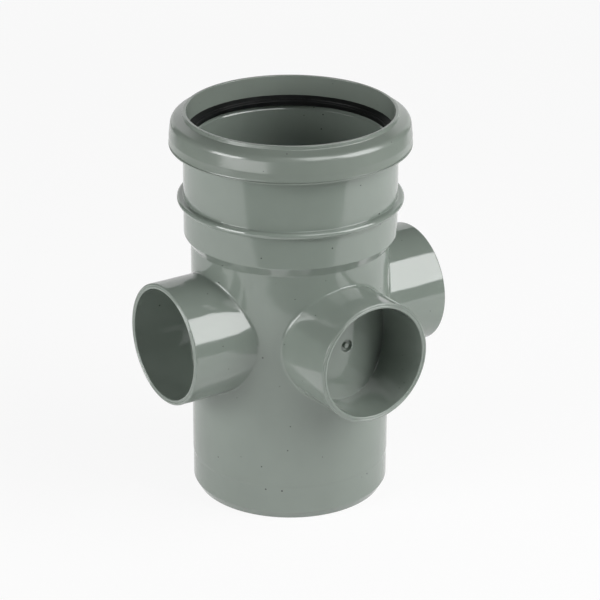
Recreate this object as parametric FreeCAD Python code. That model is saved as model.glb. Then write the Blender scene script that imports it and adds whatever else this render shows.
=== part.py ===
import FreeCAD, Part
import math
import os
from FreeCAD import Vector

# Boss pipe fitting for a 110 mm soil stack, in millimetres, +Z up along the stack.
# The origin is the centre of the spigot's foot. The front boss points along -Y and
# the two side bosses along -X and +X.
# pipe_body is one moulding: spigot, barrel, ring-seal socket and three blanked bosses.
# sealing_ring is the rubber lip seal in the socket's mouth.
# retaining_cap snaps over the socket's rim, hooks under its flange and holds the seal down.

# Barrel and spigot
barrel_radius = 55.0
barrel_wall = 3.2
spigot_length = 19.2
spigot_relief = 0.2
relief_run = 1.8
lead_in_depth = 2.4
lead_in_height = 4.3

# Socket, which takes the next pipe down to its stop
socket_clearance = 0.4
socket_wall = 3.4
shoulder_foot = 147.2
shoulder_rise = 5.0
shoulder_edge_bevel = 1.1
stop_rise = 4.3
stop_ledge = 1.9
stop_slope = 4.0
socket_depth = 50.5

# Stiffening bead round the socket
bead_rise = 24.5
bead_thickness = 3.4
bead_reach = 3.5
bead_bevel = 1.0

# Seat for the seal, and the rim whose flange the cap hooks under
seat_rise = 3.8
seat_flare = 2.6
seat_width = 3.6
flange_thickness = 1.6
rim_height = 9.8
rim_wall = 1.9

# Bosses: blind upstands, blanked by the barrel's wall until they are cut open
boss_height = 102.1
boss_bore_radius = 31.0
boss_wall = 3.1
boss_mouth_reach = 82.5
boss_rim_chamfer = 0.7
boss_bore_chamfer = 0.4
boss_root_bevel = 0.9
boss_headings = [0.0, 180.0, 270.0]
# Each blank stands a little proud of the barrel, and the bore tapers in below its sizing length
blank_rise = 0.8
blank_clearance = 0.2
bore_taper = 0.5

# Gate mark at the centre of each blank: a dished recess with a short stub in it
gate_recess_radius = 2.9
gate_recess_depth = 1.0
gate_stub_radius = 1.2
gate_stub_length = 0.8

# Sealing ring, with its lip pressed back as a pipe in the socket holds it
ring_side_clearance = 0.3
ring_height = 4.1
lip_root_clearance = 0.3
lip_pipe_clearance = 0.3
lip_shoulder_drop = 2.3
lip_drop = 1.8
lip_tip_width = 0.9

# Retaining cap
cap_side_clearance = 0.1
cap_wall = 2.9
cap_draft = 1.3
hook_depth = 1.0
hook_reach = 0.8
hook_lead = 0.6
cap_foot_bevel = 0.6
cap_shoulder_bevel = 0.9
cap_rise = 11.6
cap_skirt_width = 2.8
mouth_clearance = 1.8
lip_land_width = 1.8
lip_collar_width = 2.7
lip_collar_height = 2.0
cone_fall = 2.4
mouth_bevel = 0.4

# Sizes that follow from the ones above
spigot_radius = barrel_radius - spigot_relief
waterway_radius = barrel_radius - barrel_wall
socket_radius = barrel_radius + socket_clearance
socket_outer_radius = socket_radius + socket_wall
stop_height = shoulder_foot + stop_rise
bead_height = shoulder_foot + bead_rise
socket_mouth_height = stop_height + socket_depth
seat_height = socket_mouth_height + seat_rise
seat_edge_radius = socket_radius + seat_flare
rim_inner_radius = seat_edge_radius + seat_width
rim_outer_radius = rim_inner_radius + rim_wall
rim_top = seat_height + rim_height
flange_underside = seat_height - flange_thickness
boss_outer_radius = boss_bore_radius + boss_wall
blank_radius = barrel_radius + blank_rise
sizing_depth = blank_radius + blank_clearance
ring_top = seat_height + ring_height
mouth_radius = barrel_radius + mouth_clearance
mouth_top = ring_top + cap_rise
cap_inner_radius = rim_outer_radius + cap_side_clearance
cap_foot = flange_underside - hook_depth
hook_radius = rim_outer_radius - hook_reach

# How far the cutting forms run past the faces that they open
cut_margin = 5.0
# The most of a side that a bevel may use up
bevel_share = 0.45
# Heading of the seam line of the turned forms, clear of every boss
seam_heading = 45.0
# Where a boss bore's taper ends inside the blank's wall, as a share of the waterway
root_share = 0.8
# How a root edge is told: sample points along it, and how near they have to lie
sample_shares = (0.1, 0.5, 0.9)
match_tolerance = 0.01


def limited_bevel(wanted, before, after):
    """The bevel's run along both sides of a corner, kept within the shorter side."""
    return min(wanted, bevel_share * before, bevel_share * after)


def turned(corners):
    """Solid of revolution about Z. Each corner is (radius, height, bevel)."""
    places = [Vector(radius, 0, height) for radius, height, bevel in corners]
    count = len(corners)
    outline = []
    for index in range(count):
        bevel = corners[index][2]
        here = places[index]
        back = places[index - 1] - here
        ahead = places[(index + 1) % count] - here
        run = limited_bevel(bevel, back.Length, ahead.Length)
        if run > 0:
            outline.append(here + back.normalize() * run)
            outline.append(here + ahead.normalize() * run)
        else:
            outline.append(here)
    section = Part.Face(Part.makePolygon(outline + outline[:1]))
    solid = section.revolve(Vector(0, 0, 0), Vector(0, 0, 1), 360)
    solid.rotate(Vector(0, 0, 0), Vector(0, 0, 1), seam_heading)
    return solid


def aimed(shape, heading):
    """A form made along +Z, laid along a boss's axis at that heading from +X."""
    placed = shape.copy()
    placed.rotate(Vector(0, 0, 0), Vector(0, 1, 0), 90)
    placed.rotate(Vector(0, 0, 0), Vector(0, 0, 1), heading)
    placed.translate(Vector(0, 0, boss_height))
    return placed


def body_outside():
    """The moulding's outer form without its bosses, filled in to the axis."""
    bead_low = bead_height - bead_thickness / 2
    bead_high = bead_height + bead_thickness / 2
    bead_radius = socket_outer_radius + bead_reach
    shoulder_top = shoulder_foot + shoulder_rise
    return turned([
        (0, 0, 0),
        (spigot_radius - lead_in_depth, 0, 0),
        (spigot_radius, lead_in_height, 0),
        (spigot_radius, spigot_length, 0),
        (barrel_radius, spigot_length + relief_run, 0),
        (barrel_radius, shoulder_foot, 0),
        (socket_outer_radius, shoulder_top, shoulder_edge_bevel),
        (socket_outer_radius, bead_low, 0),
        (bead_radius, bead_low, bead_bevel),
        (bead_radius, bead_high, bead_bevel),
        (socket_outer_radius, bead_high, 0),
        (socket_outer_radius, flange_underside, 0),
        (rim_outer_radius, flange_underside, 0),
        (rim_outer_radius, rim_top, 0),
        (0, rim_top, 0),
    ])


def body_inside():
    """The way through: waterway, stop, socket bore and the seal's seat."""
    ledge_radius = socket_radius - stop_ledge
    return turned([
        (0, -cut_margin, 0),
        (waterway_radius, -cut_margin, 0),
        (waterway_radius, stop_height - stop_slope, 0),
        (ledge_radius, stop_height, 0),
        (socket_radius, stop_height, 0),
        (socket_radius, socket_mouth_height, 0),
        (seat_edge_radius, seat_height, 0),
        (rim_inner_radius, seat_height, 0),
        (rim_inner_radius, rim_top + cut_margin, 0),
        (0, rim_top + cut_margin, 0),
    ])


def boss_outside():
    """One upstand as a solid bar from the stack's axis to its chamfered mouth."""
    return turned([
        (0, 0, 0),
        (boss_outer_radius, 0, 0),
        (boss_outer_radius, boss_mouth_reach, boss_rim_chamfer),
        (0, boss_mouth_reach, 0),
    ])


def boss_inside():
    """The upstand's bore: a sizing length, and a slight taper in to the blank."""
    mouth_edge = boss_bore_radius + boss_bore_chamfer
    return turned([
        (0, 0, 0),
        (boss_bore_radius - bore_taper, 0, 0),
        (boss_bore_radius - bore_taper, waterway_radius * root_share, 0),
        (boss_bore_radius, sizing_depth, 0),
        (boss_bore_radius, boss_mouth_reach - boss_bore_chamfer, 0),
        (mouth_edge, boss_mouth_reach, 0),
        (mouth_edge, boss_mouth_reach + cut_margin, 0),
        (0, boss_mouth_reach + cut_margin, 0),
    ])


def gate_recess():
    """The shallow round recess at the centre of a blank."""
    floor = blank_radius - gate_recess_depth
    length = gate_recess_depth + cut_margin
    return Part.makeCylinder(gate_recess_radius, length, Vector(0, 0, floor))


def gate_stub():
    """The short stub that stands in the recess, rooted in the blank's wall."""
    root = blank_radius - 2 * gate_recess_depth
    length = gate_recess_depth + gate_stub_length
    return Part.makeCylinder(gate_stub_radius, length, Vector(0, 0, root))


def distance_from_boss_axis(point, heading):
    """How far a point lies from the axis of the boss at that heading."""
    angle = math.radians(heading)
    across = -point.x * math.sin(angle) + point.y * math.cos(angle)
    return math.hypot(across, point.z - boss_height)


def is_root_edge(edge):
    """True for an edge where an upstand meets the barrel."""
    samples = [edge.valueAt(edge.getParameterByLength(edge.Length * share))
               for share in sample_shares]
    for heading in boss_headings:
        misses = [abs(math.hypot(point.x, point.y) - barrel_radius) for point in samples]
        for point in samples:
            misses.append(abs(distance_from_boss_axis(point, heading) - boss_outer_radius))
        if max(misses) < match_tolerance:
            return True
    return False


def make_pipe_body():
    """The one-piece moulding with its three blanked upstands."""
    body = body_outside()
    body = body.fuse([aimed(boss_outside(), heading) for heading in boss_headings])
    body = body.removeSplitter()
    roots = [edge for edge in body.Edges if is_root_edge(edge)]
    body = body.makeChamfer(boss_root_bevel, roots)
    body = body.cut(body_inside())
    blank = Part.makeCylinder(blank_radius, shoulder_foot)
    for heading in boss_headings:
        body = body.cut(aimed(boss_inside(), heading).cut(blank))
        body = body.cut(aimed(gate_recess(), heading))
        body = body.fuse(aimed(gate_stub(), heading))
    return body.removeSplitter().Solids[0]


def make_sealing_ring():
    """Rubber ring: a square heel in the seat and a lip hanging from its inner edge."""
    heel_outer = rim_inner_radius - ring_side_clearance
    heel_inner = seat_edge_radius - lip_root_clearance
    lip_inner = barrel_radius + lip_pipe_clearance
    lip_low = seat_height - lip_drop
    return turned([
        (heel_outer, seat_height, 0),
        (heel_outer, ring_top, 0),
        (mouth_radius, ring_top, 0),
        (lip_inner, ring_top - lip_shoulder_drop, 0),
        (lip_inner, lip_low, 0),
        (lip_inner + lip_tip_width, lip_low, 0),
        (heel_inner, seat_height, 0),
    ])


def make_retaining_cap():
    """Ring cap: mouth collar, sloped crown, drafted side, hooked foot and an inner skirt."""
    collar_radius = mouth_radius + lip_collar_width
    collar_foot = mouth_top - lip_collar_height
    foot_radius = cap_inner_radius + cap_wall
    crown_radius = foot_radius - cap_draft
    skirt_radius = mouth_radius + cap_skirt_width
    return turned([
        (mouth_radius, ring_top, 0),
        (skirt_radius, ring_top, 0),
        (skirt_radius, rim_top, 0),
        (cap_inner_radius, rim_top, 0),
        (cap_inner_radius, flange_underside, 0),
        (hook_radius, flange_underside, 0),
        (hook_radius + hook_lead, cap_foot, 0),
        (foot_radius, cap_foot, cap_foot_bevel),
        (crown_radius, collar_foot - cone_fall, cap_shoulder_bevel),
        (collar_radius, collar_foot, 0),
        (mouth_radius + lip_land_width, mouth_top, mouth_bevel),
        (mouth_radius, mouth_top, mouth_bevel),
    ])


def main():
    """Build the three pieces and write one file for each."""
    os.makedirs("parts", exist_ok=True)
    pieces = {
        "pipe_body": make_pipe_body(),
        "sealing_ring": make_sealing_ring(),
        "retaining_cap": make_retaining_cap(),
    }
    for name, shape in pieces.items():
        shape.exportStep("parts/" + name + ".step")
        low = shape.BoundBox.ZMin
        high = shape.BoundBox.ZMax
        print(name, shape.ShapeType, len(shape.Solids), shape.isValid(),
              round(shape.Volume, 1), round(low, 2), round(high, 2))


main()
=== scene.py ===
import math

import bmesh
import bpy
from bpy.props import FloatProperty, FloatVectorProperty, IntProperty, PointerProperty
from bpy.types import Operator, Panel, PropertyGroup
from mathutils import Matrix, Vector


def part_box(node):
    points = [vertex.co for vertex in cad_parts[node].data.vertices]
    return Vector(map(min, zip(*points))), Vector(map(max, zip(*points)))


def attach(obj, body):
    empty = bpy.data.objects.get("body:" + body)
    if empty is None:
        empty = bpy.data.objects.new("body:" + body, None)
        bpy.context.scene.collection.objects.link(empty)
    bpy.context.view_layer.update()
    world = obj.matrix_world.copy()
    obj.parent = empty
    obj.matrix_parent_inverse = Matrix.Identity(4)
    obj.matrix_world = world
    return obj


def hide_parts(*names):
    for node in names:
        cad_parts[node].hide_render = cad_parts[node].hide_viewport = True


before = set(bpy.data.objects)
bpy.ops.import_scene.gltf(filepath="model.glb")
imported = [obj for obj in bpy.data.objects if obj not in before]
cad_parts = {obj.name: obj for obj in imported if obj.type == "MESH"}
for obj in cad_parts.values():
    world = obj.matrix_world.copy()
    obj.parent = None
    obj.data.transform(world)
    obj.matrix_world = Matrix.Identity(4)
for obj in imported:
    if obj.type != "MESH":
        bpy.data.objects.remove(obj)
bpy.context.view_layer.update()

bl_info = {
    "name": "Boss Pipe Fitting",
    "version": (1, 0, 0),
    "blender": (4, 5, 0),
    "location": "3D View > Sidebar > Boss Pipe",
    "description": "Models a moulded boss pipe, its rubber seal and its cap on the packed frame",
    "category": "Object",
}

MM = 0.001
FITTING_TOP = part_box("retaining_cap")[1].z / MM
MOUTH_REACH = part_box("pipe_body")[1].x / MM


# Settings

def length(name, description, millimetres):
    """A size property whose default is given in millimetres."""
    return FloatProperty(
        name=name,
        description=description,
        default=millimetres * MM,
        unit="LENGTH",
        subtype="DISTANCE",
        precision=4,
    )


def colour(name, description, value):
    """A colour property, in linear values."""
    return FloatVectorProperty(
        name=name,
        description=description,
        default=value,
        size=3,
        min=0.0,
        max=1.0,
        subtype="COLOR",
    )


def share(name, description, value):
    """A plain factor between 0 and 1."""
    return FloatProperty(name=name, description=description, default=value, min=0.0, max=1.0)


class BodySizes(PropertyGroup):
    """Sizes of the moulding."""

    barrel_radius: length("Barrel radius", "Outside radius of the barrel", 55.0)
    waterway_radius: length("Waterway radius", "Inside radius of the barrel", 51.8)
    spigot_radius: length("Spigot radius", "Outside radius of the spigot", 54.8)
    spigot_length: length("Spigot length", "Height of the spigot's relieved wall", 19.2)
    relief_run: length("Relief run", "Height over which the wall comes back out", 1.8)
    lead_in_depth: length("Lead-in depth", "How far the foot tapers in", 2.4)
    lead_in_height: length("Lead-in height", "Height of the foot's taper", 4.3)
    socket_radius: length("Socket bore radius", "Inside radius of the socket", 55.4)
    socket_outer: length("Socket outside radius", "Outside radius of the socket", 58.8)
    shoulder_foot: length("Shoulder foot", "Height where the shoulder leaves the barrel", 146.3)
    shoulder_rise: length("Shoulder rise", "Height of the shoulder's slope", 5.6)
    stop_height: length("Pipe stop", "Height of the ledge that stops the next pipe", 151.5)
    stop_ledge: length("Stop ledge", "Width of the ledge", 1.9)
    stop_slope: length("Stop slope", "Height of the slope under the ledge", 4.0)
    socket_mouth: length("Socket mouth", "Height of the end of the socket's bore", 202.0)
    bead_height: length("Bead height", "Height of the middle of the stiffening bead", 171.7)
    bead_thickness: length("Bead thickness", "Thickness of the bead", 3.4)
    bead_reach: length("Bead reach", "How far the bead stands out", 3.5)
    seat_height: length("Seat height", "Height of the seal's seat", 205.8)
    seat_edge: length("Seat edge radius", "Radius of the seat's inner edge", 58.0)
    rim_inner: length("Rim inside radius", "Inside radius of the rim", 61.6)
    rim_outer: length("Rim outside radius", "Outside radius of the rim and flange", 63.5)
    rim_top: length("Rim top", "Height of the top of the rim", 215.6)
    flange_underside: length("Flange underside", "Height of the flange's lower face", 204.2)


class BossSizes(PropertyGroup):
    """Sizes of the three upstands and of the blanks in them."""

    height: length("Boss height", "Height of the bosses' axes", 102.1)
    reach: length("Boss reach", "Distance of a mouth from the stack's axis", MOUTH_REACH)
    outer: length("Boss outside radius", "Outside radius of a boss", 34.1)
    bore: length("Boss bore radius", "Inside radius of a boss", 31.0)
    root_bore: length("Root radius", "Inside radius at the sides of the blank", 30.67)
    sizing_depth: length("Sizing depth", "Where the sizing length ends, from the axis", 56.0)
    blank_radius: length("Blank radius", "Radius of the blanks' outer faces", 55.8)
    root_round: length("Root rounding", "Run of the rounding where a boss meets the barrel", 1.15)
    mouth_round: length("Mouth rounding", "Rounding of a mouth's outer edge", 0.85)
    bore_round: length("Bore rounding", "Rounding of a mouth's inner edge", 0.55)
    witness: length("Witness line", "Half the width of the fine line in a mouth's end", 0.25)
    witness_depth: length("Witness depth", "Depth of the fine line in a mouth's end", 0.2)
    blank_round: length("Blank rounding", "Rounding where the bore meets the blank", 0.3)
    gate_radius: length("Gate mark radius", "Radius of the recess in a blank", 3.4)
    gate_floor: length("Gate floor", "Distance of the recess's floor from the axis", 53.5)
    stub_radius: length("Gate stub radius", "Radius of the stub in the recess", 1.6)
    stub_top: length("Gate stub top", "Distance of the stub's end from the axis", 55.7)
    window_height: length("Window height", "Half the height of a boss's patch of wall", 40.0)
    columns: IntProperty(
        name="Columns", description="Faces across a quarter of the barrel", default=48, min=16
    )


class SealSizes(PropertyGroup):
    """Sizes of the rubber ring, with its lip relaxed."""

    heel_outer: length("Heel outside radius", "Outside radius of the heel", 61.3)
    heel_inner: length("Heel inside radius", "Inside radius of the heel's foot", 57.7)
    seat: length("Seat", "Height of the seal's underside", 205.8)
    top: length("Top", "Height of the seal's top face", 209.9)
    brow: length("Brow radius", "Radius where the top face turns down", 56.5)
    nose: length("Nose radius", "Smallest radius of the lip", 52.7)
    nose_height: length("Nose height", "Height of the lip's smallest radius", 207.7)
    tip: length("Tip radius", "Radius of the lip's lower end", 53.5)
    tip_height: length("Tip height", "Height of the lip's lower end", 204.9)
    tip_width: length("Tip width", "Thickness of the lip", 0.9)
    rounding: length("Rounding", "Rounding of the seal's corners", 0.35)
    rib_place: share("Rib place", "Where the fine rib lies on the sloping face", 0.58)
    rib: length("Rib", "Height and half width of the fine rib", 0.28)


class CapSizes(PropertyGroup):
    """Sizes of the ring cap."""

    mouth: length("Mouth radius", "Inside radius of the cap's mouth", 56.8)
    skirt: length("Skirt radius", "Outside radius of the inner skirt", 59.6)
    skirt_foot: length("Skirt foot", "Height of the inner skirt's lower end", 209.9)
    inner: length("Inside radius", "Inside radius of the side wall", 63.6)
    inner_top: length("Inside top", "Height of the inside of the crown", 215.6)
    hook_height: length("Hook height", "Height of the hook's upper face", 204.2)
    hook: length("Hook radius", "Inside radius of the hook", 62.7)
    hook_foot: length("Hook foot radius", "Inside radius at the foot", 63.3)
    foot: length("Foot height", "Height of the cap's foot", 202.8)
    foot_radius: length("Foot radius", "Outside radius at the foot", 66.42)
    groove_height: length("Groove height", "Lower edge of the fine groove over the foot", 203.7)
    groove_width: length("Groove width", "Height of the groove, and of the flare above", 0.5)
    groove: length("Groove", "Depth of the fine groove", 0.5)
    flare: length("Flare", "How far the side flares out above the groove", 0.2)
    waist_height: length("Waist height", "Height where the side starts to lean in", 208.6)
    crown_radius: length("Crown radius", "Outside radius at the crown", 65.2)
    crown_height: length("Crown height", "Height where the crown starts", 217.1)
    collar_radius: length("Collar radius", "Radius at the foot of the mouth's collar", 58.9)
    collar_height: length("Collar height", "Height of the foot of the collar", 219.5)
    land_radius: length("Land radius", "Outside radius of the mouth's top face", 58.6)
    top: length("Top", "Height of the cap's top face", FITTING_TOP)


class Finish(PropertyGroup):
    """Colours and surface of the plastic and the rubber."""

    plastic: colour("Plastic", "Grey-green of the mouldings", (0.224, 0.261, 0.230))
    plastic_cap: colour("Cap plastic", "Grey-green of the cap", (0.213, 0.246, 0.216))
    speck: colour("Specks", "Dark specks in the plastic", (0.03, 0.035, 0.03))
    rubber: colour("Rubber", "Black of the seal", (0.004, 0.0044, 0.0044))
    gloss: share("Roughness", "Roughness of the pipe's plastic", 0.075)
    gloss_cap: share("Cap roughness", "Roughness of the cap's plastic", 0.21)
    shine: share("Shine", "Strength of the plastic's reflections", 0.85)
    variation: share("Variation", "How much the plastic's colour drifts", 0.05)
    waviness: share("Waviness", "Strength of the slow waves in the skin", 0.10)
    grain: share("Grain", "Strength of the fine grain in the skin", 0.05)


class StageSettings(PropertyGroup):
    """Floor, light and camera."""

    floor_tone: colour("Floor", "Colour of the floor", (0.9, 0.9, 0.9))
    floor_glow: share("Floor glow", "How far the camera sees the floor as plain white", 0.9)
    floor_gloss_glow: share("Floor glow in gloss", "The same, seen in reflections", 0.75)
    ambient: share("Ambient", "Strength of the room's own light", 0.03)
    camera_place: FloatVectorProperty(
        name="Camera place",
        description="Where the camera stands",
        default=(-0.77215, -1.16712, 0.71483),
        size=3,
        subtype="TRANSLATION",
        unit="LENGTH",
    )
    focal_length: FloatProperty(
        name="Focal length", description="In millimetres, on a 36 mm sensor", default=164.207
    )


# Modelling by hand

# How far a place may be from the one that is looked for, plain and after pressing
SLACK = 0.02 * MM
PRESSED_SLACK = 0.05 * MM
WELD_REACH = 0.01 * MM
RING_SEGMENTS = 4
SMOOTH_UNDER = math.radians(35)


def put_down():
    """Leaves Edit Mode and deselects everything."""
    active = bpy.context.view_layer.objects.active
    if active is not None and active.mode != "OBJECT":
        bpy.ops.object.mode_set(mode="OBJECT")
    bpy.ops.object.select_all(action="DESELECT")


def take(*pieces):
    """Selects these pieces alone, the first of them active."""
    put_down()
    for piece in pieces:
        piece.select_set(True)
    bpy.context.view_layer.objects.active = pieces[0]


def settle(piece):
    """Puts the object at the origin, with its place, turn and scale in its mesh."""
    take(piece)
    bpy.ops.object.transform_apply(location=True, rotation=True, scale=True)
    return piece


def start(operator, name, scale=(1, 1, 1), **settings):
    """Adds a primitive at its size and place, under a plain name."""
    put_down()
    operator(**settings)
    piece = bpy.context.object
    piece.name = name
    piece.data.name = name
    piece.scale = scale
    return settle(piece)


def open_mesh(piece):
    """Opens the piece in Edit Mode, by vertices, with nothing selected."""
    take(piece)
    bpy.ops.object.mode_set(mode="EDIT")
    bpy.ops.mesh.select_mode(type="VERT")
    bpy.ops.mesh.select_all(action="DESELECT")


def pick(piece, test):
    """Selects the vertices whose place passes the test, with the edges between them."""
    mesh = bmesh.from_edit_mesh(piece.data)
    mesh.normal_update()
    for group in (mesh.faces, mesh.edges, mesh.verts):
        for part in group:
            part.select = False
    found = 0
    for vertex in mesh.verts:
        if test(vertex.co):
            vertex.select = True
            found += 1
    if not found:
        raise RuntimeError("nothing to select on " + piece.name)
    mesh.select_flush(True)
    bmesh.update_edit_mesh(piece.data)


def near(value, wanted, slack=SLACK):
    """Whether the two are the same, but for the slack."""
    return abs(value - wanted) < slack


def at_ring(radius, height):
    """Test for the ring of that radius and height about the stack's axis."""
    return lambda place: near(place.z, height) and near(math.hypot(place.x, place.y), radius)


def extrude(shift):
    """Extrudes what is selected and moves it by the shift."""
    bpy.ops.mesh.extrude_region_move(TRANSFORM_OT_translate={"value": shift})


def scale_about(factors, centre):
    """Scales what is selected about that centre."""
    bpy.ops.transform.resize(value=factors, center_override=centre)


def bevel_picked(piece, test, run, segments):
    """Rounds the edges between the vertices that pass the test."""
    pick(piece, test)
    bpy.ops.mesh.bevel(
        offset=run, segments=segments, profile=0.5, affect="EDGES", clamp_overlap=True
    )


def weld(piece, test):
    """Merges the doubles among the vertices that pass the test."""
    pick(piece, test)
    bpy.ops.mesh.remove_doubles(threshold=WELD_REACH)


def face_outwards():
    """In Edit Mode, turns every face of the piece the same way, outwards."""
    bpy.ops.mesh.select_all(action="SELECT")
    bpy.ops.mesh.normals_make_consistent(inside=False)


def carry(corners, begin):
    """Extrudes the selected loop from corner to corner about the stack's axis."""
    radius, height = begin[:2]
    for corner in corners:
        extrude((0, 0, corner[1] - height))
        factor = corner[0] / radius
        scale_about((factor, factor, 1), (0, 0, 0))
        radius, height = corner[:2]


def turn_at(corners, index):
    """Angle by which the outline turns at a corner."""
    count = len(corners)
    here = Vector(corners[index][:2])
    ahead = Vector(corners[(index + 1) % count][:2]) - here
    back = here - Vector(corners[index - 1][:2])
    return back.angle(ahead)


def round_rings(piece, corners):
    """Bevels each ring of the outline by the run that gives its rounding."""
    for index, corner in enumerate(corners):
        if corner[2] > 0:
            run = corner[2] * math.tan(turn_at(corners, index) / 2)
            bevel_picked(piece, at_ring(*corner[:2]), run, RING_SEGMENTS)


def apply_modifier(piece, kind, **settings):
    """Gives the piece a modifier with these settings, and applies it."""
    take(piece)
    modifier = piece.modifiers.new(kind.title(), kind)
    for key, value in settings.items():
        setattr(modifier, key, value)
    bpy.ops.object.modifier_apply(modifier=modifier.name)


def finish_skin(piece):
    """Points the faces outwards and smooths all but the sharp edges."""
    open_mesh(piece)
    face_outwards()
    take(piece)
    bpy.ops.object.shade_smooth_by_angle(angle=SMOOTH_UNDER)
    apply_modifier(piece, "WEIGHTED_NORMAL", mode="FACE_AREA", weight=50, keep_sharp=True)


def join(*pieces):
    """Joins the pieces' meshes into the first one's."""
    take(*pieces)
    bpy.ops.object.join()
    return pieces[0]


def turned_copy(piece, name, degrees):
    """A copy with its own mesh, turned about the stack's axis."""
    take(piece)
    bpy.ops.object.duplicate(linked=False)
    copy = bpy.context.object
    copy.name = name
    copy.rotation_euler = (0, 0, math.radians(degrees))
    return settle(copy)


def remove(piece):
    """Takes away a helper and its mesh."""
    mesh = piece.data
    bpy.data.objects.remove(piece)
    bpy.data.meshes.remove(mesh)


def closed_ring(name, corners, sides):
    """A ring carried round its outline from a circle, rounded and closed."""
    first = corners[0]
    piece = start(
        bpy.ops.mesh.primitive_circle_add,
        name,
        vertices=sides,
        radius=first[0],
        location=(0, 0, first[1]),
    )
    open_mesh(piece)
    bpy.ops.mesh.select_all(action="SELECT")
    carry(corners[1:] + corners[:1], first)
    weld(piece, at_ring(*first[:2]))
    face_outwards()
    round_rings(piece, corners)
    finish_skin(piece)
    return piece


# The moulding

DRUM_SIDES = 1440
# Width of the ring of faces round a boss's root, and what is left free at the patch's outline
ROOT_MARGIN = 1.6 * MM
OUTLINE_MARGIN = 0.1 * MM
# Sizes of the blank's rings of faces, as shares of the bore
BLANK_RINGS = (0.93, 0.82, 0.68, 0.54, 0.40, 0.28, 0.20, 0.145)
# Roundings of the gate mark's edge, of its floor and of the stub, and the stub's flat end
GATE_EDGE_ROUND = 0.3 * MM
GATE_FLOOR_ROUND = 0.35 * MM
STUB_ROUND = 0.55 * MM
STUB_FLAT = 0.4


def forming_drum(radius, boss):
    """A fine cylinder that flat work is pressed on to, and that is taken away after."""
    return start(
        bpy.ops.mesh.primitive_cylinder_add,
        "forming_drum",
        vertices=DRUM_SIDES,
        radius=radius,
        depth=4 * boss.window_height,
        location=(0, 0, boss.height),
    )


def press_on(piece, drum, forwards=True):
    """Moves the flat piece along Y until it lies on the drum."""
    apply_modifier(
        piece,
        "SHRINKWRAP",
        target=drum,
        wrap_method="PROJECT",
        use_project_y=True,
        use_positive_direction=forwards,
        use_negative_direction=not forwards,
    )


def off_axis(place, boss):
    """Distance from the front boss's axis."""
    return math.hypot(place.x, place.z - boss.height)


def flat_quarter(name, body, boss, heading):
    """A flat lattice that covers a quarter of the barrel, in front (-1) or behind (+1)."""
    across = 2 * body.barrel_radius * math.sin(math.pi / 4)
    return start(
        bpy.ops.mesh.primitive_grid_add,
        name,
        x_subdivisions=boss.columns,
        y_subdivisions=boss.columns,
        size=1,
        location=(0, heading * boss.reach, boss.height),
        rotation=(-heading * math.pi / 2, 0, 0),
        scale=(across, 2 * boss.window_height, 1),
    )


def facing_circle(name, radius, boss):
    """A circle about the front boss's axis, in the plane of its mouth."""
    return start(
        bpy.ops.mesh.primitive_circle_add,
        name,
        vertices=4 * boss.columns,
        radius=radius,
        location=(0, -boss.reach, boss.height),
        rotation=(math.pi / 2, 0, 0),
    )


def boss_wall(body, boss, drum):
    """The quarter of the barrel in front with its upstand, up to the bore's sizing length."""
    mouth = (0, -boss.reach, boss.height)
    half_across = body.barrel_radius * math.sin(math.pi / 4)
    margin_radius = boss.outer + ROOT_MARGIN
    wall = flat_quarter("boss_wall", body, boss, -1)
    open_mesh(wall)
    pick(
        wall,
        lambda place: abs(place.x) < half_across - OUTLINE_MARGIN
        and abs(place.z - boss.height) < boss.window_height - OUTLINE_MARGIN,
    )
    bpy.ops.mesh.delete(type="VERT")
    wall = join(wall, facing_circle("boss_ring", margin_radius, boss))
    open_mesh(wall)
    bpy.ops.mesh.select_all(action="SELECT")
    bpy.ops.mesh.bridge_edge_loops(number_cuts=3, interpolation="LINEAR")
    pick(wall, lambda place: near(off_axis(place, boss), margin_radius))
    extrude((0, 0, 0))
    factor = boss.outer / margin_radius
    scale_about((factor, factor, factor), mouth)
    press_on(wall, drum)

    open_mesh(wall)
    pick(wall, lambda place: near(off_axis(place, boss), boss.outer))
    extrude((0, -boss.reach, 0))
    scale_about((1, 0, 1), mouth)
    radius = boss.outer
    middle_radius = (boss.outer + boss.bore) / 2
    for wanted, sink in (
        (middle_radius + boss.witness, 0),
        (middle_radius, boss.witness_depth),
        (middle_radius - boss.witness, -boss.witness_depth),
        (boss.bore, 0),
    ):
        extrude((0, sink, 0))
        scale_about((wanted / radius, 1, wanted / radius), mouth)
        radius = wanted
    extrude((0, boss.reach - boss.sizing_depth, 0))
    bevel_picked(
        wall,
        lambda place: near(off_axis(place, boss), boss.outer) and place.y > -body.barrel_radius - MM,
        boss.root_round,
        segments=5,
    )
    for radius, run in ((boss.outer, boss.mouth_round), (boss.bore, boss.bore_round)):
        bevel_picked(
            wall,
            lambda place: near(off_axis(place, boss), radius) and near(place.y, -boss.reach),
            run,
            segments=3,
        )
    return wall


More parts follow.
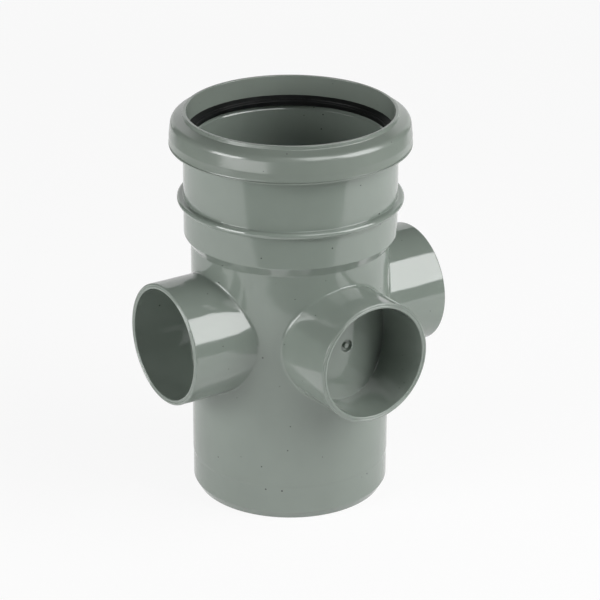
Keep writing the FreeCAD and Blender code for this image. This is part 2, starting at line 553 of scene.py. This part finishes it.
def boss_blank(boss, drum):
    """The blank across a boss, with its gate mark and stub."""
    mouth = (0, -boss.reach, boss.height)
    blank = facing_circle("boss_blank", boss.bore, boss)
    open_mesh(blank)
    bpy.ops.mesh.select_all(action="SELECT")
    scale_about((boss.root_bore / boss.bore, 1, 1), mouth)
    reached = 1.0
    for ring in BLANK_RINGS:
        extrude((0, 0, 0))
        scale_about((ring / reached, 1, ring / reached), mouth)
        reached = ring
    extrude((0, 0, 0))
    factor = boss.gate_radius / (reached * boss.bore)
    scale_about((factor * boss.bore / boss.root_bore, 1, factor), mouth)
    press_on(blank, drum)

    floor = (0, -boss.gate_floor, boss.height)
    open_mesh(blank)
    pick(blank, lambda place: near(off_axis(place, boss), boss.gate_radius))
    extrude((0, MM, 0))
    scale_about((1, 0, 1), floor)
    extrude((0, 0, 0))
    factor = boss.stub_radius / boss.gate_radius
    scale_about((factor, 1, factor), floor)
    extrude((0, boss.gate_floor - boss.stub_top, 0))
    extrude((0, 0, 0))
    scale_about((STUB_FLAT, 1, STUB_FLAT), floor)
    extrude((0, 0, 0))
    bpy.ops.mesh.merge(type="CENTER")
    bevel_picked(
        blank,
        lambda place: near(off_axis(place, boss), boss.gate_radius)
        and place.y < -boss.gate_floor - GATE_EDGE_ROUND,
        GATE_EDGE_ROUND,
        segments=3,
    )
    for radius, distance, run, segments in (
        (boss.gate_radius, boss.gate_floor, GATE_FLOOR_ROUND, 3),
        (boss.stub_radius, boss.stub_top, STUB_ROUND, 4),
    ):
        bevel_picked(
            blank,
            lambda place: near(off_axis(place, boss), radius) and near(place.y, -distance),
            run,
            segments,
        )
    return blank


def make_boss(body, boss):
    """One blanked upstand with its quarter of the barrel, facing forwards."""
    drum = forming_drum(body.barrel_radius, boss)
    wall = boss_wall(body, boss, drum)
    remove(drum)
    drum = forming_drum(boss.blank_radius, boss)
    blank = boss_blank(boss, drum)
    remove(drum)
    wall = join(wall, blank)
    open_mesh(wall)

    def blank_edge(place):
        out = off_axis(place, boss)
        return (
            near(math.hypot(place.x, place.y), boss.blank_radius)
            and boss.root_bore - PRESSED_SLACK < out < boss.bore + PRESSED_SLACK
        )

    def bore_end(place):
        return near(off_axis(place, boss), boss.bore) and near(place.y, -boss.sizing_depth)

    pick(wall, lambda place: blank_edge(place) or bore_end(place))
    bpy.ops.mesh.bridge_edge_loops()
    bevel_picked(wall, blank_edge, boss.blank_round, segments=3)
    put_down()
    return wall


def body_outline(body, boss):
    """Radius, height and rounding of each corner, from over the bosses round to below them."""
    barrel = body.barrel_radius
    bead_low = body.bead_height - body.bead_thickness / 2
    bead_high = body.bead_height + body.bead_thickness / 2
    bead = body.socket_outer + body.bead_reach
    return [
        (barrel, boss.height + boss.window_height, 0),
        (barrel, body.shoulder_foot, 1.6 * MM),
        (body.socket_outer, body.shoulder_foot + body.shoulder_rise, 1.2 * MM),
        (body.socket_outer, bead_low, 0.5 * MM),
        (bead, bead_low, 1.6 * MM),
        (bead, bead_high, 1.6 * MM),
        (body.socket_outer, bead_high, 0.5 * MM),
        (body.socket_outer, body.flange_underside, 0.6 * MM),
        (body.rim_outer, body.flange_underside, 0.2 * MM),
        (body.rim_outer, body.rim_top, 0.4 * MM),
        (body.rim_inner, body.rim_top, 0.3 * MM),
        (body.rim_inner, body.seat_height, 0.3 * MM),
        (body.seat_edge, body.seat_height, 0.3 * MM),
        (body.socket_radius, body.socket_mouth, 0.25 * MM),
        (body.socket_radius, body.stop_height, 0.3 * MM),
        (body.socket_radius - body.stop_ledge, body.stop_height, 0.3 * MM),
        (body.waterway_radius, body.stop_height - body.stop_slope, 1.0 * MM),
        (body.waterway_radius, 0, 0.3 * MM),
        (body.spigot_radius - body.lead_in_depth, 0, 0.25 * MM),
        (body.spigot_radius, body.lead_in_height, 0.8 * MM),
        (body.spigot_radius, body.spigot_length, 0.5 * MM),
        (barrel, body.spigot_length + body.relief_run, 0.5 * MM),
        (barrel, boss.height - boss.window_height, 0),
    ]


def make_pipe_body(body, boss):
    """The whole moulding: three bosses, plain back, and the wall carried round its outline."""
    front = make_boss(body, boss)
    drum = forming_drum(body.barrel_radius, boss)
    back = flat_quarter("plain_quarter", body, boss, 1)
    press_on(back, drum, forwards=False)
    remove(drum)
    left = turned_copy(front, "boss_left", -90)
    right = turned_copy(front, "boss_right", 90)
    piece = join(front, left, right, back)
    piece.name = "moulded_pipe_body"
    piece.data.name = "moulded_pipe_body"
    open_mesh(piece)
    weld(
        piece,
        lambda place: near(abs(place.x), abs(place.y), PRESSED_SLACK)
        and near(math.hypot(place.x, place.y), body.barrel_radius, PRESSED_SLACK),
    )
    face_outwards()
    corners = body_outline(body, boss)
    pick(piece, at_ring(*corners[0][:2]))
    carry(corners[1:], corners[0])
    weld(piece, at_ring(*corners[-1][:2]))
    face_outwards()
    round_rings(piece, corners)
    finish_skin(piece)
    return piece


# The seal and the cap

SEAL_SIDES = 192
CAP_SIDES = 256
# Thickness of the lip behind its nose in tip widths, and how far below the nose that is
LIP_BACK = 1.4
LIP_BACK_DROP = 0.8 * MM


def seal_outline(seal):
    """Radius, height and rounding of each corner of the seal, with the rib on its slope."""
    soft = seal.rounding
    brow = Vector((seal.brow, seal.top))
    slope = Vector((seal.nose, seal.nose_height)) - brow
    along = slope.normalized() * seal.rib
    rib_foot = brow + slope * seal.rib_place
    rib_crest = rib_foot + along + Vector((along.y, -along.x))
    rib_end = rib_foot + 2 * along
    return [
        (seal.heel_outer, seal.seat, soft),
        (seal.heel_outer, seal.top, soft),
        (seal.brow, seal.top, soft * 2),
        (rib_foot.x, rib_foot.y, 0),
        (rib_crest.x, rib_crest.y, 0),
        (rib_end.x, rib_end.y, 0),
        (seal.nose, seal.nose_height, soft),
        (seal.tip, seal.tip_height, soft),
        (seal.tip + seal.tip_width, seal.tip_height, soft),
        (seal.nose + LIP_BACK * seal.tip_width, seal.nose_height - LIP_BACK_DROP, soft),
        (seal.heel_inner, seal.seat, soft),
    ]


def cap_outline(cap):
    """Radius, height and rounding of each corner of the cap, from its inner skirt outwards."""
    groove_top = cap.groove_height + cap.groove_width
    side = cap.foot_radius - cap.flare
    return [
        (cap.mouth, cap.skirt_foot, 0.3 * MM),
        (cap.skirt, cap.skirt_foot, 0.3 * MM),
        (cap.skirt, cap.inner_top, 0),
        (cap.inner, cap.inner_top, 0),
        (cap.inner, cap.hook_height, 0),
        (cap.hook, cap.hook_height, 0.1 * MM),
        (cap.hook_foot, cap.foot, 0.2 * MM),
        (cap.foot_radius, cap.foot, 0.4 * MM),
        (cap.foot_radius, cap.groove_height, 0.1 * MM),
        (cap.foot_radius - cap.groove, cap.groove_height, 0),
        (cap.foot_radius - cap.groove, groove_top, 0),
        (cap.foot_radius, groove_top, 0),
        (side, cap.groove_height + 2 * cap.groove_width, 0),
        (side, cap.waist_height, 5.0 * MM),
        (cap.crown_radius, cap.crown_height, 3.8 * MM),
        (cap.collar_radius, cap.collar_height, 0.55 * MM),
        (cap.land_radius, cap.top, 0.4 * MM),
        (cap.mouth, cap.top, 0.45 * MM),
    ]


# Materials

WHITE = (1, 1, 1, 1)
# Noise scales, in features a metre
DRIFT_SCALE = 22.0
STREAK_SCALE = (60.0, 60.0, 7.0)
GRAIN_SCALE = 1400.0
SPECK_SCALE = 140.0
SPECK_SIZE_SCALE = 37.0
WAVE_SCALE = 75.0
DUST_SCALE = 160.0
RUBBER_GRAIN_SCALE = 2400.0
# Spans of a noise's value, and what they are carried to
DRIFT_SPAN = (0.3, 0.7)
STREAK_SPAN = (0.4, 0.8)
STREAK_STRENGTH = (0.0, 0.2)
STREAK_TONE = 1.08
SPECK_SPAN = (0.35, 0.65)
SPECK_SIZES = (0.02, 0.065)
GLOSS_SPREAD = (0.8, 1.25)
GLOSS_GRAIN = 0.02
DUST_SPAN = (0.35, 0.75)
DUST_TONE = 2.0
RUBBER_ROUGHNESS = (0.36, 0.5)
RUBBER_SHINE = 0.25
RUBBER_GRAIN = 0.15
WAVE_HEIGHT = 1.0 * MM
GRAIN_HEIGHT = 0.05 * MM
PLASTIC_IOR = 1.5


def empty_tree(holder):
    """Switches on the nodes of a material or a world, and clears them."""
    holder.use_nodes = True
    holder.node_tree.nodes.clear()
    return holder.node_tree


def new_material(name):
    """A material with one shader: the material, its tree and the shader."""
    material = bpy.data.materials.new(name)
    tree = empty_tree(material)
    output = tree.nodes.new("ShaderNodeOutputMaterial")
    shader = tree.nodes.new("ShaderNodeBsdfPrincipled")
    tree.links.new(shader.outputs["BSDF"], output.inputs["Surface"])
    return material, tree, shader


def feed(tree, socket, value):
    """Links the socket to another node's output, or sets its own value."""
    if isinstance(value, bpy.types.NodeSocket):
        tree.links.new(value, socket)
    else:
        socket.default_value = value


def add_node(tree, kind, **values):
    """Adds a node and feeds its inputs by name."""
    node = tree.nodes.new(kind)
    for key, value in values.items():
        feed(tree, node.inputs[key.replace("_", " ")], value)
    return node


def work_out(tree, operation, *values, clamp=False):
    """The result of a Math node."""
    node = tree.nodes.new("ShaderNodeMath")
    node.operation = operation
    node.use_clamp = clamp
    for socket, value in zip(node.inputs, values):
        feed(tree, socket, value)
    return node.outputs[0]


def noise(tree, place, scale, detail=2.0):
    """Soft noise, mostly between 0.3 and 0.7."""
    node = add_node(tree, "ShaderNodeTexNoise", Vector=place, Scale=scale, Detail=detail)
    return node.outputs["Fac"]


def remap(tree, value, span, result=(0.0, 1.0)):
    """Carries the value from its span to that of the result, and no further."""
    node = add_node(
        tree,
        "ShaderNodeMapRange",
        Value=value,
        From_Min=span[0],
        From_Max=span[1],
        To_Min=result[0],
        To_Max=result[1],
    )
    return node.outputs["Result"]


def tone_of(colour_value, factor=1.0):
    """The colour for a socket, made lighter or darker by the factor."""
    return (*(channel * factor for channel in colour_value), 1.0)


def mix_colour(tree, factor, first, second):
    """Mixes two colours by the factor."""
    node = tree.nodes.new("ShaderNodeMix")
    node.data_type = "RGBA"
    colours = [socket for socket in node.inputs if socket.type == "RGBA"]
    feed(tree, node.inputs[0], factor)
    feed(tree, colours[0], first)
    feed(tree, colours[1], second)
    return [socket for socket in node.outputs if socket.type == "RGBA"][0]


def plastic_material(name, tone, gloss, finish):
    """Glossy moulded plastic: drifting colour, a few dark specks, wavy skin and fine grain."""
    material, tree, shader = new_material(name)
    place = add_node(tree, "ShaderNodeTexCoord").outputs["Object"]
    drift = noise(tree, place, DRIFT_SCALE, 3.0)
    stretched = add_node(tree, "ShaderNodeMapping", Vector=place, Scale=STREAK_SCALE)
    streaks = noise(tree, stretched.outputs["Vector"], 1.0, 3.0)
    fine = noise(tree, place, GRAIN_SCALE)
    base = mix_colour(
        tree,
        remap(tree, drift, DRIFT_SPAN),
        tone_of(tone, 1.0 - finish.variation),
        tone_of(tone, 1.0 + finish.variation),
    )
    streak = remap(tree, streaks, STREAK_SPAN, STREAK_STRENGTH)
    base = mix_colour(tree, streak, base, tone_of(tone, STREAK_TONE))
    cells = add_node(tree, "ShaderNodeTexVoronoi", Vector=place, Scale=SPECK_SCALE)
    speck_size = remap(tree, noise(tree, place, SPECK_SIZE_SCALE), SPECK_SPAN, SPECK_SIZES)
    speck = work_out(tree, "LESS_THAN", cells.outputs["Distance"], speck_size)
    base = mix_colour(tree, speck, base, tone_of(finish.speck))
    feed(tree, shader.inputs["Base Color"], base)
    rough = remap(tree, drift, DRIFT_SPAN, [gloss * spread for spread in GLOSS_SPREAD])
    rough = work_out(tree, "MULTIPLY_ADD", fine, GLOSS_GRAIN, rough)
    feed(tree, shader.inputs["Roughness"], rough)
    waves = add_node(
        tree,
        "ShaderNodeBump",
        Height=noise(tree, place, WAVE_SCALE, 1.0),
        Strength=finish.waviness,
        Distance=WAVE_HEIGHT,
    )
    skin = add_node(
        tree,
        "ShaderNodeBump",
        Height=fine,
        Normal=waves.outputs["Normal"],
        Strength=finish.grain,
        Distance=GRAIN_HEIGHT,
    )
    feed(tree, shader.inputs["Normal"], skin.outputs["Normal"])
    shader.inputs["IOR"].default_value = PLASTIC_IOR
    shader.inputs["Specular IOR Level"].default_value = finish.shine
    return material


def rubber_material(name, tone):
    """Black rubber with a soft sheen, faint dust and a fine grain."""
    material, tree, shader = new_material(name)
    place = add_node(tree, "ShaderNodeTexCoord").outputs["Object"]
    drift = noise(tree, place, DUST_SCALE, 3.0)
    fine = noise(tree, place, RUBBER_GRAIN_SCALE)
    base = mix_colour(
        tree, remap(tree, drift, DUST_SPAN), tone_of(tone), tone_of(tone, DUST_TONE)
    )
    feed(tree, shader.inputs["Base Color"], base)
    feed(tree, shader.inputs["Roughness"], remap(tree, drift, DRIFT_SPAN, RUBBER_ROUGHNESS))
    shader.inputs["Specular IOR Level"].default_value = RUBBER_SHINE
    skin = add_node(
        tree, "ShaderNodeBump", Height=fine, Strength=RUBBER_GRAIN, Distance=GRAIN_HEIGHT
    )
    feed(tree, shader.inputs["Normal"], skin.outputs["Normal"])
    return material


def dress(piece, material, node):
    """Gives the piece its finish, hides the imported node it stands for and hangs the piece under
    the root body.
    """
    piece.data.materials.clear()
    piece.data.materials.append(material)
    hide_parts(node)
    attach(piece, "root")


# The stage

CAMERA_AXES = {
    "right": (0.83275, -0.55363, 0.00374),
    "up": (0.21707, 0.33271, 0.91771),
    "ahead": (0.50931, 0.76341, -0.39724),
}
FLOOR_SIZE = 8.0
# The dark room round the table: bearings of its walls, their width and height, their distance
WALL_BEARINGS = range(-120, 121, 40)
WALL_SIZE = (1.6, 1.8)
WALL_DISTANCE = 2.0
CEILING_SIZE = (4.2, 4.2)
CEILING_HEIGHT = 1.7
# Dark floor past the table: side, bearing, distance of the table's edge, height
APRON_SIZE = (3.0, 1.7)
APRONS = (
    ("front", 5, 0.33, 0.002),
    ("left", -90, 0.6, 0.003),
    ("right", 90, 0.6, 0.003),
)
# Lamps: name, bearing, elevation, distance, width, height, luminance, and whether the lamp
# gives plain light and whether it shows in gloss
AIM_HEIGHT = 0.11
LAMPS = (
    ("key_right", 71, 31.5, 0.95, 0.62, 0.72, 5.5, True, True),
    ("window_left", -60, 18, 1.3, 0.7, 0.6, 7.1, True, True),
    ("front_right", 30, 50, 1.3, 0.55, 0.9, 3.3, False, True),
    ("low_left", -42, 0, 1.0, 0.8, 0.16, 3.0, True, True),
    ("front_fill", 30, 50, 1.3, 0.55, 0.9, 1.3, True, False),
    ("low_right", 52, 12, 1.3, 0.7, 0.4, 1.5, True, False),
    ("low_back", 180, 8, 1.5, 2.4, 0.5, 1.8, True, False),
)


def bearing(degrees, elevation=0.0):
    """Unit direction at that bearing from the camera's side, positive to its right."""
    ahead = Vector(CAMERA_AXES["ahead"])
    ahead.z = 0
    towards = -ahead.normalized()
    right = Vector((-towards.y, towards.x, 0))
    turn = math.radians(degrees)
    rise = math.radians(elevation)
    flat = towards * math.cos(turn) + right * math.sin(turn)
    return (flat * math.cos(rise) + Vector((0, 0, math.sin(rise)))).normalized()


def softbox(name, degrees, elevation, distance, width, height, luminance, plain, gloss):
    """An area lamp aimed at the fitting; luminance 1 shows as white."""
    light = bpy.data.lights.new(name, "AREA")
    light.shape = "RECTANGLE"
    light.size = width
    light.size_y = height
    light.energy = luminance * math.pi * width * height
    lamp = bpy.data.objects.new(name, light)
    bpy.context.scene.collection.objects.link(lamp)
    out = bearing(degrees, elevation)
    lamp.location = Vector((0, 0, AIM_HEIGHT)) + out * distance
    lamp.rotation_euler = out.to_track_quat("Z", "Y").to_euler()
    lamp.visible_camera = False
    lamp.visible_diffuse = plain
    lamp.visible_glossy = gloss


def show_mix(tree, kind, factor, first, second):
    """Leads the mix of two shaders to a new output of that kind."""
    mixed = tree.nodes.new("ShaderNodeMixShader")
    for socket, value in zip(mixed.inputs, (factor, first.outputs[0], second.outputs[0])):
        tree.links.new(value, socket)
    output = tree.nodes.new(kind)
    tree.links.new(mixed.outputs[0], output.inputs["Surface"])


def floor_material(name, tone, glow, glow_in_gloss):
    """Matt floor that shows white in gloss, and near white to the camera with its shadow."""
    material = bpy.data.materials.new(name)
    tree = empty_tree(material)
    path = tree.nodes.new("ShaderNodeLightPath")
    seen = work_out(tree, "MULTIPLY", path.outputs["Is Camera Ray"], glow)
    for ray in ("Is Glossy Ray", "Is Transmission Ray"):
        seen = work_out(tree, "MULTIPLY_ADD", path.outputs[ray], glow_in_gloss, seen, clamp=True)
    matt = add_node(tree, "ShaderNodeBsdfDiffuse", Color=tone_of(tone))
    white = add_node(tree, "ShaderNodeEmission", Color=WHITE, Strength=1.0)
    show_mix(tree, "ShaderNodeOutputMaterial", seen, matt, white)
    return material


def build_world(ambient):
    """The room's faint light, with a white backdrop to the camera and in gloss."""
    world = bpy.data.worlds.new("studio")
    bpy.context.scene.world = world
    tree = empty_tree(world)
    path = tree.nodes.new("ShaderNodeLightPath")
    seen = path.outputs["Is Camera Ray"]
    for ray in ("Is Glossy Ray", "Is Transmission Ray"):
        seen = work_out(tree, "MAXIMUM", seen, path.outputs[ray])
    room = add_node(tree, "ShaderNodeBackground", Color=WHITE, Strength=ambient)
    white = add_node(tree, "ShaderNodeBackground", Color=WHITE, Strength=1.0)
    show_mix(tree, "ShaderNodeOutputWorld", seen, room, white)


def dark_card_material():
    """Near black, matt and without a highlight."""
    material, tree, shader = new_material("dark_card")
    shader.inputs["Base Color"].default_value = (0.02, 0.02, 0.02, 1.0)
    shader.inputs["Roughness"].default_value = 0.9
    shader.inputs["Specular IOR Level"].default_value = 0.0
    return material


def dark_card(name, material, size, place, turn=(0, 0, 0)):
    """A card that shows in gloss alone: it is not in the picture and throws no shadow."""
    card = start(
        bpy.ops.mesh.primitive_plane_add,
        name,
        scale=(*size, 1),
        size=1.0,
        location=place,
        rotation=turn,
    )
    card.data.materials.append(material)
    card.visible_camera = False
    card.visible_diffuse = False
    card.visible_transmission = False
    card.visible_volume_scatter = False
    card.visible_shadow = False


def build_dark_room():
    """Walls in front and at the sides, floor past the table's edges, and ceiling."""
    material = dark_card_material()
    for index, degrees in enumerate(WALL_BEARINGS):
        out = bearing(degrees)
        place = out * WALL_DISTANCE + Vector((0, 0, WALL_SIZE[1] / 2))
        turn = out.to_track_quat("Z", "Y").to_euler()
        dark_card("dark_card_%d" % index, material, WALL_SIZE, place, turn)
    for side, degrees, edge, height in APRONS:
        out = bearing(degrees)
        place = out * (edge + APRON_SIZE[1] / 2) + Vector((0, 0, height))
        turn = (0, 0, math.atan2(out.y, out.x) - math.pi / 2)
        dark_card("dark_apron_" + side, material, APRON_SIZE, place, turn)
    dark_card("dark_ceiling", material, CEILING_SIZE, (0, 0, CEILING_HEIGHT))


def place_camera(stage):
    """The camera at the photograph's place and angle."""
    scene = bpy.context.scene
    camera_data = bpy.data.cameras.new("camera")
    camera_data.sensor_width = 36.0
    camera_data.lens = stage.focal_length
    camera_data.clip_start = 0.05
    camera_data.clip_end = 20.0
    camera = bpy.data.objects.new("camera", camera_data)
    scene.collection.objects.link(camera)
    right, up, ahead = (Vector(CAMERA_AXES[key]) for key in ("right", "up", "ahead"))
    turn = Matrix((right, up, -ahead)).transposed().to_4x4()
    camera.matrix_world = Matrix.Translation(stage.camera_place) @ turn
    scene.camera = camera


def build_stage(stage):
    """Floor, dark room, lamps, room light and camera."""
    floor = start(
        bpy.ops.mesh.primitive_plane_add, "floor", size=FLOOR_SIZE, location=(0, 0, 0)
    )
    paper = floor_material(
        "floor_paper", stage.floor_tone, stage.floor_glow, stage.floor_gloss_glow
    )
    floor.data.materials.append(paper)
    build_dark_room()
    for lamp in LAMPS:
        softbox(*lamp)
    build_world(stage.ambient)
    place_camera(stage)
    bpy.context.scene.view_settings.view_transform = "Standard"


# Operators and panel

class BOSSPIPE_OT_pipe_body(Operator):
    """Model the moulding with its three blanked bosses"""

    bl_idname = "boss_pipe.pipe_body"
    bl_label = "Pipe Body"

    def execute(self, context):
        finish = context.scene.boss_pipe_finish
        piece = make_pipe_body(context.scene.boss_pipe_body, context.scene.boss_pipe_boss)
        skin = plastic_material("grey_plastic_skin", finish.plastic, finish.gloss, finish)
        dress(piece, skin, "pipe_body")
        return {"FINISHED"}


class BOSSPIPE_OT_sealing_ring(Operator):
    """Model the rubber seal with its lip relaxed"""

    bl_idname = "boss_pipe.sealing_ring"
    bl_label = "Sealing Ring"

    def execute(self, context):
        finish = context.scene.boss_pipe_finish
        corners = seal_outline(context.scene.boss_pipe_seal)
        piece = closed_ring("rubber_seal", corners, SEAL_SIDES)
        skin = rubber_material("black_rubber_skin", finish.rubber)
        dress(piece, skin, "sealing_ring")
        return {"FINISHED"}


class BOSSPIPE_OT_retaining_cap(Operator):
    """Model the ring cap over the socket's rim"""

    bl_idname = "boss_pipe.retaining_cap"
    bl_label = "Retaining Cap"

    def execute(self, context):
        finish = context.scene.boss_pipe_finish
        corners = cap_outline(context.scene.boss_pipe_cap)
        piece = closed_ring("ring_cap", corners, CAP_SIDES)
        skin = plastic_material("grey_cap_skin", finish.plastic_cap, finish.gloss_cap, finish)
        dress(piece, skin, "retaining_cap")
        return {"FINISHED"}


class BOSSPIPE_OT_stage(Operator):
    """Lay the floor, set the lamps and place the camera"""

    bl_idname = "boss_pipe.stage"
    bl_label = "Stage"

    def execute(self, context):
        build_stage(context.scene.boss_pipe_stage)
        return {"FINISHED"}


class BOSSPIPE_PT_panel(Panel):
    """Lists the steps that build the fitting, and their settings"""

    bl_idname = "BOSSPIPE_PT_panel"
    bl_label = "Boss Pipe"
    bl_space_type = "VIEW_3D"
    bl_region_type = "UI"
    bl_category = "Boss Pipe"

    def draw(self, context):
        for step in STEPS:
            self.layout.operator(step.bl_idname)
        for holder in HOLDERS:
            settings = getattr(context.scene, holder)
            for key in settings.__annotations__:
                self.layout.prop(settings, key)


STEPS = (
    BOSSPIPE_OT_pipe_body,
    BOSSPIPE_OT_sealing_ring,
    BOSSPIPE_OT_retaining_cap,
    BOSSPIPE_OT_stage,
)
HOLDERS = {
    "boss_pipe_body": BodySizes,
    "boss_pipe_boss": BossSizes,
    "boss_pipe_seal": SealSizes,
    "boss_pipe_cap": CapSizes,
    "boss_pipe_finish": Finish,
    "boss_pipe_stage": StageSettings,
}


def register():
    """Registers the settings, the operators and the panel."""
    for holder, group in HOLDERS.items():
        bpy.utils.register_class(group)
        setattr(bpy.types.Scene, holder, PointerProperty(type=group))
    for step in STEPS:
        bpy.utils.register_class(step)
    bpy.utils.register_class(BOSSPIPE_PT_panel)


def unregister():
    """Takes them away again."""
    bpy.utils.unregister_class(BOSSPIPE_PT_panel)
    for step in reversed(STEPS):
        bpy.utils.unregister_class(step)
    for holder, group in HOLDERS.items():
        delattr(bpy.types.Scene, holder)
        bpy.utils.unregister_class(group)


def main():
    """Builds the fitting and its stage."""
    register()
    bpy.ops.boss_pipe.pipe_body()
    bpy.ops.boss_pipe.sealing_ring()
    bpy.ops.boss_pipe.retaining_cap()
    bpy.ops.boss_pipe.stage()
    put_down()


if __name__ == "__main__":
    main()
